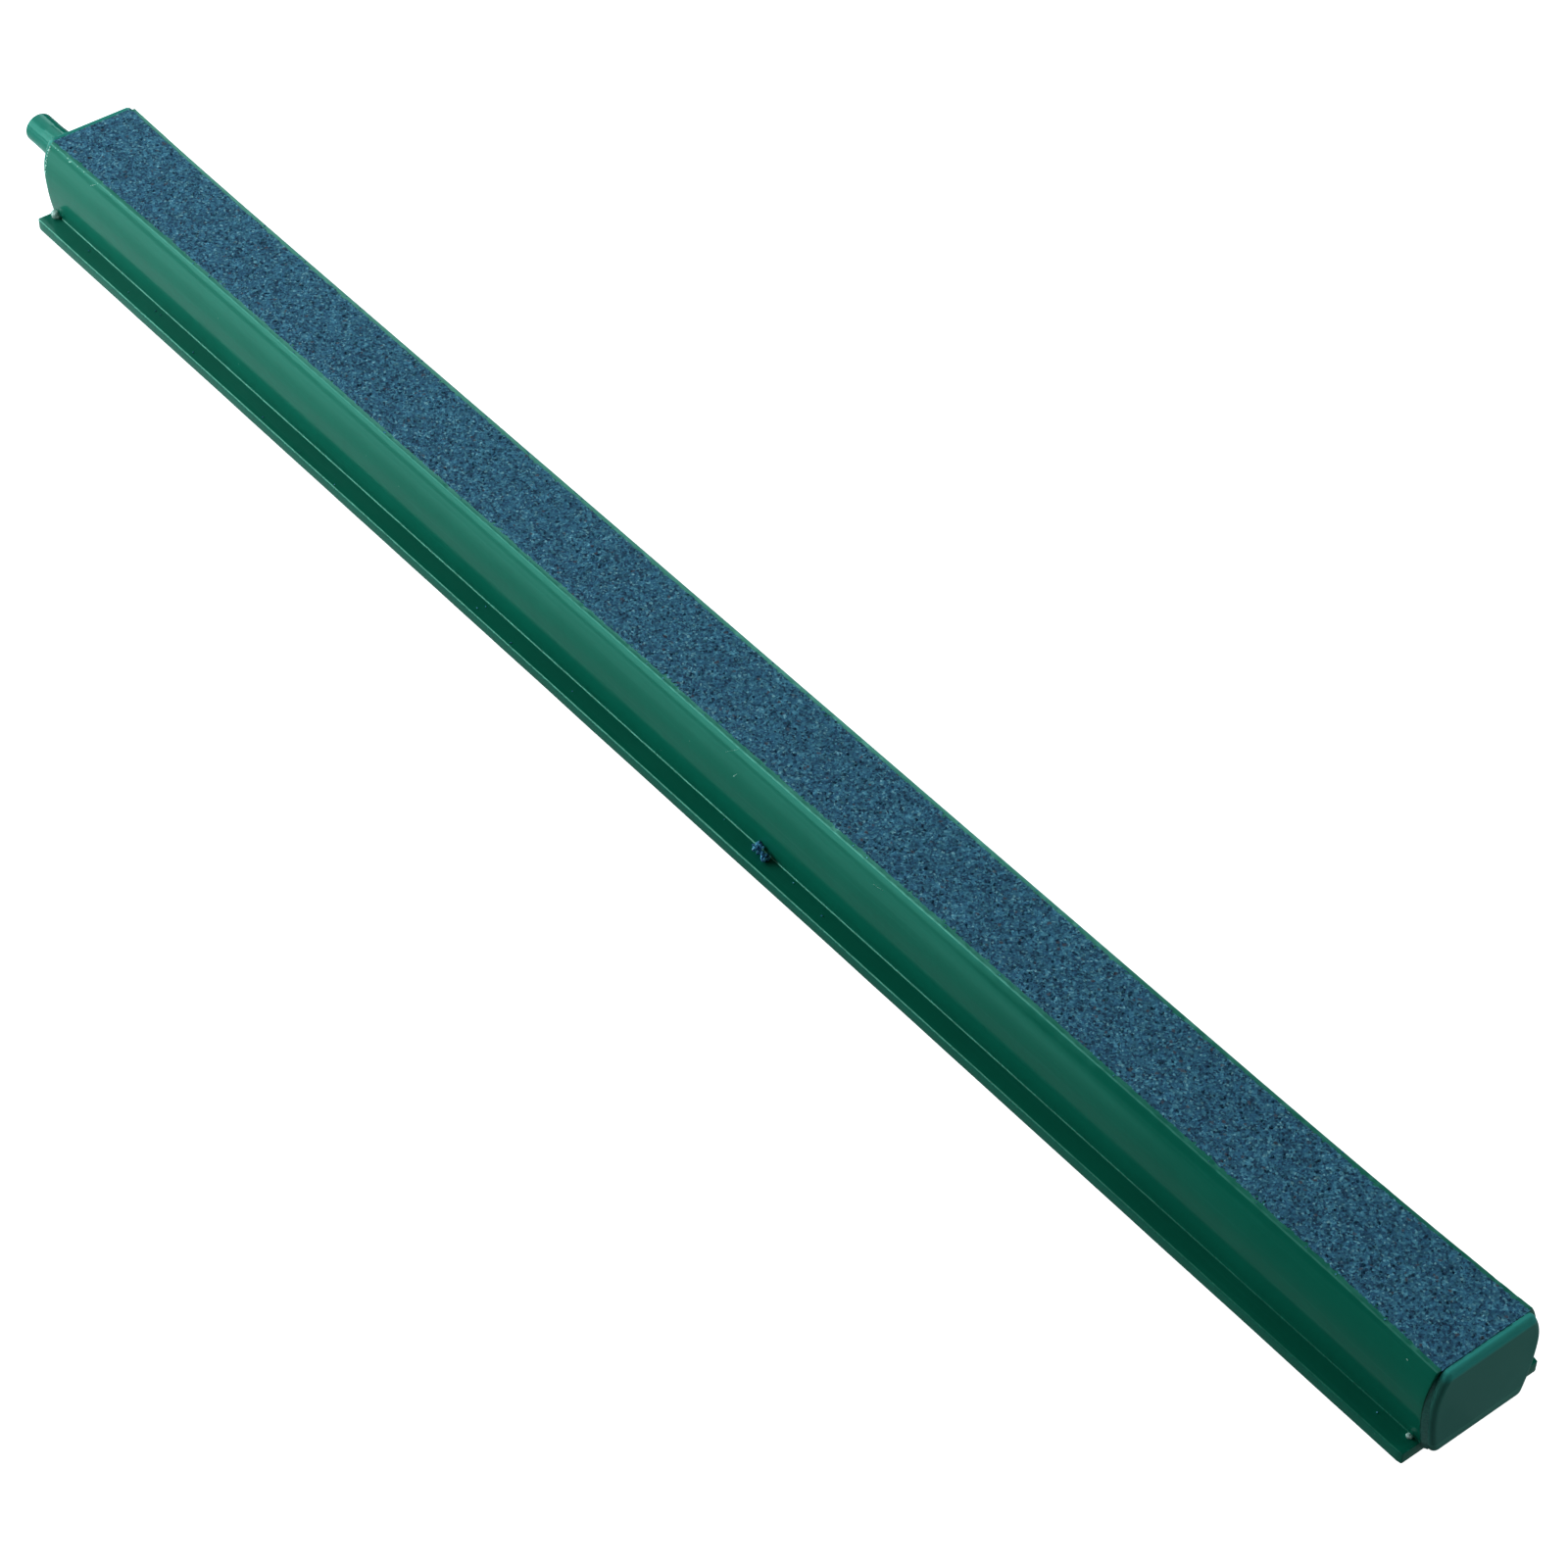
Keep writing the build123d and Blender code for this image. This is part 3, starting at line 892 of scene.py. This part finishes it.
def plastic_material(name, green, sheen, roughness, top_highlight=0.0):
    """Glossy plastic: faint clouding, drawn streaks, scuffs, pale specks, a rim pale from wear and painted
    highlight, and painted highlights along the foot and a cap's top edge.
    """
    s = Shader(name)
    cloud = s.noise(CLOUD_SIZE, 3)
    streaks = s.noise(STREAK_SIZE, 2, stretch=STREAK_STRETCH)
    base = s.mix(s.step(cloud, *CLOUD_STEP), green, tuple(part * CLOUD_LIFT for part in green))
    base = s.mix(s.product(s.step(streaks, *STREAK_STEP), STREAK_PALENESS), base, PALE_GREEN)

    dust = s.cells(SPECK_CELL)
    speck = s.inverse(s.step(dust.outputs["Distance"], *SPECK_EDGE))
    chosen = s.step(s.red(dust.outputs["Color"]), *SPECK_CHOSEN)
    base = s.mix(s.product(speck, chosen, SPECK_PALENESS), base, SPECK_GREEN)

    patchy = s.step(s.noise(PATCH_SIZE, 3, stretch=PATCH_STRETCH), *PATCH_STEP)
    # Pale rim: partly wear, partly a painted highlight on its rounding.
    pale_rim = rim_wear_and_highlight(s, patchy)
    base = s.mix(pale_rim, base, WORN_AND_HIGHLIGHT_GREEN)
    paleness = s.math("ADD", LINES_EVEN, s.product(patchy, LINES_PATCHY))
    # Painted highlight lines along the foot's upper edges and in the crease.
    base = s.mix(s.product(foot_highlight_lines(s), paleness), base, HIGHLIGHT_LINE_GREEN)
    # Painted highlight on a cap's upper edge, as strong as the cap's top_highlight.
    base = s.mix(s.product(s.step(s.height, *CAP_HIGHLIGHT_RISE), top_highlight), base, CAP_EDGE_HIGHLIGHT_GREEN)

    scuff = s.step(s.noise(SCUFF_SIZE, 4), *SCUFF_STEP)
    rough = s.math("ADD", roughness, s.product(scuff, SCUFF_ROUGHNESS))
    rough = s.math("ADD", rough, s.product(pale_rim, WORN_ROUGHNESS))
    grain = s.product(s.noise(FINE_GRAIN_SIZE, 2), FINE_GRAIN_SHARE)
    return s.finish(
        Base_Color=base, Roughness=rough, Specular_IOR_Level=sheen, Specular_Tint=GREEN_SHEEN,
        Normal=s.bump(s.math("ADD", grain, streaks), PLASTIC_RELIEF))


# Grit: colours of its grains from the darkest to the palest, each at the share of grains below it.
GRAIN_COLORS = (
    (0.0, (0.008, 0.035, 0.085)),
    (0.2, (0.028, 0.1, 0.2)),
    (0.5, (0.045, 0.165, 0.29)),
    (0.8, (0.08, 0.25, 0.39)),
    (0.96, (0.13, 0.36, 0.5)),
    (1.0, (0.26, 0.52, 0.64)),
)
GRAIN_CELL = 0.28 * MM
CLUMP_SIZE = 1.1 * MM
CLUMP_SHADES = ((0.32, 0.72), (0.68, 1.26))
CLUMP_SHARE = 0.85
RUST_CELL = 0.4 * MM
RUST_CHOSEN = (0.985, 0.99)
RUST_SHARE = 0.7
RUST_COLOR = (0.1, 0.07, 0.09)
GRIT_FINE_SIZE = 0.1 * MM
GRIT_RELIEF = 0.06 * MM
GLASSY_CHOSEN = (0.92, 0.98)
GRIT_ROUGHNESS = 0.8
GLASSY_GLOSS = 0.35
GRIT_SHEEN = 0.25


def stone_material(name, brightness=1.0):
    """Bonded grit: blue grains of many shades, dark pores, a few pale grains and rusty ones."""
    s = Shader(name)
    grains = s.cells(GRAIN_CELL)
    shade = s.red(grains.outputs["Color"])
    # A brightness over 1 is painted light: it lifts a copy of the grit, as for the crumb and loose grains.
    stops = [(place, tuple(part * brightness for part in shown)) for place, shown in GRAIN_COLORS]
    color = s.ramp(shade, stops)
    clumps = s.noise(CLUMP_SIZE, 3)
    color = s.mix(CLUMP_SHARE, color, s.ramp(clumps, CLUMP_SHADES), "MULTIPLY")
    rust = s.step(s.red(s.cells(RUST_CELL).outputs["Color"]), *RUST_CHOSEN)
    color = s.mix(s.product(rust, RUST_SHARE), color, RUST_COLOR)
    height = s.math("ADD", grains.outputs["Distance"], s.noise(GRIT_FINE_SIZE, 2))
    glassy = s.step(shade, *GLASSY_CHOSEN)
    rough = s.math("SUBTRACT", GRIT_ROUGHNESS, s.product(glassy, GLASSY_GLOSS))
    return s.finish(
        Base_Color=color, Roughness=rough, Specular_IOR_Level=GRIT_SHEEN,
        Normal=s.bump(height, GRIT_RELIEF))


MILK_SIZE = 0.35 * MM
MILK_STEP = (0.4, 0.65)
CEMENT_ROUGHNESS = 0.18
BUBBLE_CELL = 0.15 * MM
BUBBLE_RELIEF = 0.01 * MM


def cement_material(name, thin, thick):
    """Cured cement, milky in places, with fine bubbles."""
    s = Shader(name)
    milk = s.noise(MILK_SIZE, 3)
    color = s.mix(s.step(milk, *MILK_STEP), thin, thick)
    bubbles = s.cells(BUBBLE_CELL).outputs["Distance"]
    relief = s.bump(bubbles, BUBBLE_RELIEF)
    return s.finish(Base_Color=color, Roughness=CEMENT_ROUGHNESS, Normal=relief)


# ---------------------------------------------------------------- stage

def add_camera():
    """The camera at the photograph's viewing angle."""
    data = bpy.data.cameras.new("camera")
    data.lens = CAMERA_LENS
    data.sensor_width = CAMERA_SENSOR
    data.clip_start = CAMERA_CLIP[0]
    data.clip_end = CAMERA_CLIP[1]
    camera = bpy.data.objects.new("camera", data)
    bpy.context.scene.collection.objects.link(camera)
    turn = Euler((0, 0, CAMERA_AZIMUTH)).to_matrix()
    turn = turn @ Euler((math.pi / 2 - CAMERA_ELEVATION, 0, 0)).to_matrix()
    turn = turn @ Euler((0, 0, CAMERA_ROLL)).to_matrix()
    camera.matrix_world = turn.to_4x4()
    camera.location = CAMERA_AIM + turn @ Vector((0, 0, CAMERA_DISTANCE))
    bpy.context.scene.camera = camera


# The stage, in metres: how far the floors reach, and how high the wall round the seen one is.
FLOOR_REACH = 6.0
WALL_RISE = 4.0
FLOOR_SIDES = 96
BOUNCE_FLOOR_DROP = 0.01 * MM

# Light from the boxes and off the floor is a quarter short of red. The glows and the powers below
# come from a fit to the photo's colours and were then rounded and adjusted.
LIGHT_COLOR = (0.75, 1.0, 1.0)

# Glow of the bounce floor: on the bar's far side, near the blank end, and what is added over the
# floor's lit part and towards the inlet end.
GLOW_BACK = 0.244
GLOW_LEAST = 0.186
GLOW_LIT = 1.23
GLOW_BESIDE_BAR = 0.04
GLOW_INLET = 0.505
GLOW_PAST_INLET = 0.452

# The lit part ends along a slanting soft edge: at this X, moved by this share of Y.
LIT_EDGE = (86 * MM, 138 * MM)
LIT_SLANT = 0.667
BESIDE_BAR = (12 * MM, 60 * MM)
INLET_RISE = (-50 * MM, 250 * MM)
PAST_INLET_RISE = (120 * MM, 300 * MM)


def stage_piece(name, vertices, faces, material):
    """A mesh that belongs to the stage, and not to the bar."""
    mesh = bpy.data.meshes.new(name)
    mesh.from_pydata(vertices, [], faces)
    mesh.materials.append(material)
    piece = bpy.data.objects.new(name, mesh)
    bpy.context.scene.collection.objects.link(piece)
    return piece


def add_pale_floor():
    """The floor that is seen: plain and pale, turned up into a plain wall far away on every side."""
    s = Shader("pale_floor")
    material = s.finish(
        Base_Color=(0.8, 0.8, 0.8), Roughness=0.9, Emission_Color=(1.0, 1.0, 1.0), Emission_Strength=1.0)
    angles = [2 * math.pi * side / FLOOR_SIDES for side in range(FLOOR_SIDES)]
    rim = [(FLOOR_REACH * math.cos(a), FLOOR_REACH * math.sin(a)) for a in angles]
    vertices = [(x, y, 0) for x, y in rim] + [(x, y, WALL_RISE) for x, y in rim]
    faces = [list(range(FLOOR_SIDES))]
    for side in range(FLOOR_SIDES):
        after = (side + 1) % FLOOR_SIDES
        faces.append([side, after, FLOOR_SIDES + after, FLOOR_SIDES + side])
    floor = stage_piece("pale_floor", vertices, faces, material)
    floor.visible_diffuse = False
    floor.visible_glossy = False
    floor.visible_transmission = False
    floor.visible_shadow = False


def add_bounce_floor():
    """The light that the floor throws back at the bar, brighter in front and at the inlet end.

    It hides from the camera, just under the floor that is seen.
    """
    s = Shader("bounce_floor")
    front = s.math("LESS_THAN", s.across, 0.0)
    inlet_way = s.product(s.along, -1.0)
    front_way = s.product(s.across, -1.0)
    slanted = s.math("SUBTRACT", s.along, s.product(s.across, LIT_SLANT))
    lit = s.inverse(s.step(slanted, *LIT_EDGE))
    clear = s.math("ADD", GLOW_BESIDE_BAR, s.product(s.step(front_way, *BESIDE_BAR), GLOW_LIT))
    glow = s.math("ADD", GLOW_LEAST, s.product(lit, clear))
    glow = s.math("ADD", glow, s.product(s.step(inlet_way, *INLET_RISE), GLOW_INLET))
    glow = s.math("ADD", glow, s.product(s.step(inlet_way, *PAST_INLET_RISE), GLOW_PAST_INLET))
    glow = s.product(glow, front)
    back = s.product(s.inverse(front), GLOW_BACK)
    material = s.finish(
        Base_Color=(0.0, 0.0, 0.0), Roughness=1.0, Specular_IOR_Level=0.0,
        Emission_Color=LIGHT_COLOR, Emission_Strength=s.math("ADD", glow, back))
    reach = FLOOR_REACH
    corners = [(x * reach, y * reach, -BOUNCE_FLOOR_DROP) for x, y in ((-1, -1), (1, -1), (1, 1), (-1, 1))]
    floor = stage_piece("bounce_floor", corners, [(0, 1, 2, 3)], material)
    floor.visible_camera = False


def add_softbox(name, place, aim, width, height, power):
    """A rectangular light at a place, turned towards its aim."""
    data = bpy.data.lights.new(name, "AREA")
    data.shape = "RECTANGLE"
    data.size = width
    data.size_y = height
    data.energy = power
    data.color = LIGHT_COLOR
    box = bpy.data.objects.new(name, data)
    box.location = Vector(place)
    box.rotation_euler = (Vector(aim) - Vector(place)).to_track_quat("-Z", "Y").to_euler()
    bpy.context.scene.collection.objects.link(box)


# Middle of the two cards in front of the inlet end, and the point that they face. They stand
# upright, one over the other, and the low one's lower edge is on the floor.
CARD_PLACE = (-0.716, -0.481)
CARD_AIM = (0.034, -0.061)
CARD_WIDTH = 1.04

# The soft boxes, all turned to the middle of the bar: name, place, width, height and power.
SOFTBOXES = (
    ("inlet_front_box", (-0.6, -0.55, 0.35), 0.6, 0.5, 1.52),
    ("inlet_box", (-0.8, 0, 0.5), 0.6, 0.5, 1.73),
    ("inlet_back_box", (-0.6, 0.6, 0.5), 0.6, 0.5, 2.69),
    ("blank_back_box", (0.6, 0.6, 0.5), 0.5, 0.5, 1.93),
    ("top_box", (0, 0, 1.0), 0.6, 0.6, 0.43),
)


def add_lights():
    """Two cards and soft boxes around the inlet end, and weaker boxes over and behind the bar."""
    for name, level, height, power in (
        ("inlet_front_card", 0.33, 0.42, 4.2),
        ("inlet_low_card", 0.06, 0.12, 0.52),
    ):
        add_softbox(name, (*CARD_PLACE, level), (*CARD_AIM, level), CARD_WIDTH, height, power)
    for name, place, width, height, power in SOFTBOXES:
        add_softbox(name, place, (0, 0, 0), width, height, power)


def dress_cad_nodes(materials):
    """Give each CAD node that stays in view its finished material."""
    for node, material in materials.items():
        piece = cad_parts[node]
        for slot in piece.material_slots:
            slot.material = material


# Cement where it is thin and where it is thick: clear drops, a dark layer behind the caps that is
# painted shade in the crevice, and seams coloured lighter than the plastic as painted light.
DROP_CEMENT = ((0.45, 0.62, 0.55), (0.85, 0.95, 0.9))
FILM_SHADE_CEMENT = ((0.01, 0.06, 0.05), (0.02, 0.1, 0.08))
# Painted light: the seams are lighter than the plastic, for the poorly lit cut ends.
SEAM_LIT_CEMENT = ((0.025, 0.22, 0.18), (0.04, 0.28, 0.23))

# Painted light: the crumb and the loose grains are copies of the stone's grit made brighter than the
# stone's skin.
CRUMB_PAINTED_LIGHT = 2.0
LOOSE_PAINTED_LIGHT = 2.2


def main():
    """Makes the materials, the bar's pieces and the stage."""
    bpy.context.scene.view_settings.view_transform = "Standard"
    trough_plastic = plastic_material("trough_green", TROUGH_GREEN, sheen=0.3, roughness=0.12)
    inlet_plastic = plastic_material(
        "inlet_cap_green", INLET_CAP_GREEN, sheen=0.3, roughness=0.1, top_highlight=0.3)
    blank_plastic = plastic_material(
        "blank_cap_green", BLANK_CAP_GREEN, sheen=0.06, roughness=0.3, top_highlight=0.9)
    # Painted shade: the cement behind the caps is dark, standing in for the shaded crevice.
    painted_shade_film = cement_material("cement_film_painted_shade", *FILM_SHADE_CEMENT)
    build_trough(trough_plastic)
    build_stone(stone_material("blue_grit"))
    build_cement_drops(cement_material("clear_cement", *DROP_CEMENT))
    # Painted light: the seams' cement is lifted lighter than the plastic for the poorly lit cut ends.
    build_seams(cement_material("seam_cement_painted_light", *SEAM_LIT_CEMENT))
    build_crumb(stone_material("crumb_grit_painted_light", CRUMB_PAINTED_LIGHT))
    build_loose_grit(stone_material("loose_grit_painted_light", LOOSE_PAINTED_LIGHT))
    build_burrs(plastic_material("burr_green", BURR_GREEN, sheen=0.3, roughness=0.3))
    dress_cad_nodes({
        "inlet_end_cap": inlet_plastic,
        "blank_end_cap": blank_plastic,
        "inlet_cap_cement": painted_shade_film,
        "blank_cap_cement": painted_shade_film,
    })
    add_pale_floor()
    add_bounce_floor()
    add_lights()
    add_camera()


main()
